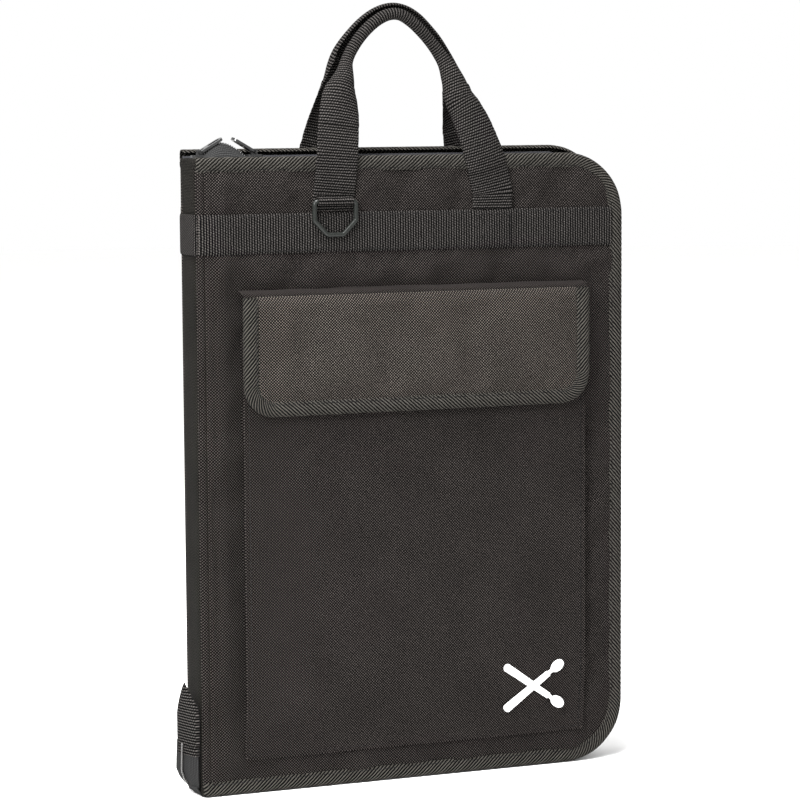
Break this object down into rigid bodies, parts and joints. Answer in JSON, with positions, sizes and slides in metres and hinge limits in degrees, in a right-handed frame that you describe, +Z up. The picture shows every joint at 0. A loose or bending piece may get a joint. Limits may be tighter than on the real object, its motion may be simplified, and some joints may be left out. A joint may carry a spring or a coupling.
{
  "type": "drumstick bag",
  "caption": "Book-style padded drumstick bag with a zip round its sides, paired webbing handles, D-rings, a flapped front pocket and inner stick sleeves.",
  "frame": {"origin": "on the floor under the middle of the bag, which stands on its bottom edge", "axes": "+Z up along the bag, +X from the spine to the zip side, -Y towards the front pocket"},
  "size_m": [0.3885, 0.068, 0.6452],
  "materials": {
    "panel_fabric": "coarse woven polyester, dull",
    "foam": "soft closed-cell foam",
    "board": "thin stiffening sheet",
    "lining_fabric": "smooth taffeta lining",
    "binding_twill": "ribbed twill tape",
    "zip_tape": "flat woven tape",
    "zip_teeth": "nylon coil",
    "hook_and_loop": "hook and loop pile",
    "webbing": "ribbed polypropylene webbing",
    "ring_metal": "satin black coated steel wire",
    "zip_metal": "gloss black coated zinc",
    "badge_thread": "white satin-stitch embroidery"
  },
  "bodies": {
    "back_cover": {"back_band": "webbing", "back_edge_binding": "binding_twill", "back_foam_pad": "foam", "back_handle_anchors": "webbing", "back_lining": "lining_fabric", "back_outer_fabric": "panel_fabric", "back_ring_loop": "webbing", "back_sleeve_hem": "binding_twill", "back_sleeve_pleats": "lining_fabric", "back_sleeve_sheet": "lining_fabric", "back_stiffener_board": "board", "back_zip_coil": "zip_teeth", "back_zip_tape": "zip_tape"},
    "spine": {"spine_band": "webbing", "spine_end_bindings": "binding_twill", "spine_foam_pad": "foam", "spine_lining": "lining_fabric", "spine_outer_fabric": "panel_fabric", "zip_tail_root": "zip_tape"},
    "front_cover": {"front_band": "webbing", "front_edge_binding": "binding_twill", "front_foam_pad": "foam", "front_handle_anchors": "webbing", "front_lining": "lining_fabric", "front_outer_fabric": "panel_fabric", "front_ring_loop": "webbing", "front_sleeve_hem": "binding_twill", "front_sleeve_pleats": "lining_fabric", "front_sleeve_sheet": "lining_fabric", "front_stiffener_board": "board", "front_zip_coil": "zip_teeth", "front_zip_tape": "zip_tape", "flap_seam_welt": "binding_twill", "pocket_badge": "badge_thread", "pocket_gusset": "panel_fabric", "pocket_hem": "binding_twill", "pocket_loop_tape": "hook_and_loop", "pocket_sheet": "panel_fabric"},
    "front_handle": {"front_handle": "webbing"},
    "back_handle": {"back_handle": "webbing"},
    "front_ring": {"front_d_ring": "ring_metal"},
    "back_ring": {"back_d_ring": "ring_metal"},
    "flap": {"flap_edge_binding": "binding_twill", "flap_foam_pad": "foam", "flap_hook_tape": "hook_and_loop", "flap_lining": "lining_fabric", "flap_outer_fabric": "panel_fabric"},
    "left_slider": {"left_slider": "zip_metal"},
    "right_slider": {"right_slider": "zip_metal"},
    "left_pull": {"left_pull": "zip_metal"},
    "right_pull": {"right_pull": "zip_metal"},
    "zip_tail": {"zip_tail_tab": "webbing", "zip_tail_tape": "zip_tape"}
  },
  "joints": [
    {"name": "spine_fold", "type": "hinge", "parent": "back_cover", "child": "spine", "pos_m": [-0.186, 0.021, 0], "axis": [0, 0, -1], "range_deg": [0, 90]},
    {"name": "cover_swing", "type": "hinge", "parent": "spine", "child": "front_cover", "pos_m": [-0.186, -0.021, 0], "axis": [0, 0, -1], "range_deg": [0, 90]},
    {"name": "front_handle_drop", "type": "hinge", "parent": "front_cover", "child": "front_handle", "pos_m": [0.002, -0.0245, 0.489], "axis": [1, 0, 0], "range_deg": [0, 90]},
    {"name": "back_handle_drop", "type": "hinge", "parent": "back_cover", "child": "back_handle", "pos_m": [0.002, 0.0245, 0.495], "axis": [-1, 0, 0], "range_deg": [0, 90]},
    {"name": "front_ring_lift", "type": "hinge", "parent": "front_cover", "child": "front_ring", "pos_m": [-0.069, -0.0267, 0.4835], "axis": [1, 0, 0], "range_deg": [-160, 0]},
    {"name": "back_ring_lift", "type": "hinge", "parent": "back_cover", "child": "back_ring", "pos_m": [-0.069, 0.0267, 0.4895], "axis": [-1, 0, 0], "range_deg": [-160, 0]},
    {"name": "flap_open", "type": "hinge", "parent": "front_cover", "child": "flap", "pos_m": [0.002, -0.0319, 0.409], "axis": [1, 0, 0], "range_deg": [-150, 0]},
    {"name": "right_slider_run", "type": "slide", "parent": "back_cover", "child": "right_slider", "axis": [1, 0, 0], "range_m": [0, 0.238]},
    {"name": "right_pull_swing", "type": "hinge", "parent": "right_slider", "child": "right_pull", "pos_m": [-0.129, 0, 0.5241], "axis": [0, 1, 0], "range_deg": [0, 120]},
    {"name": "left_slider_run", "type": "slide", "parent": "back_cover", "child": "left_slider", "axis": [-1, 0, 0], "range_m": [0, 0.0012]},
    {"name": "left_pull_swing", "type": "hinge", "parent": "left_slider", "child": "left_pull", "pos_m": [-0.1755, 0, 0.5241], "axis": [0, -1, 0], "range_deg": [0, 120]},
    {"name": "zip_tail_swing", "type": "hinge", "parent": "spine", "child": "zip_tail", "pos_m": [-0.194, 0, 0.008], "axis": [0, -1, 0], "range_deg": [0, 90]}
  ]
}
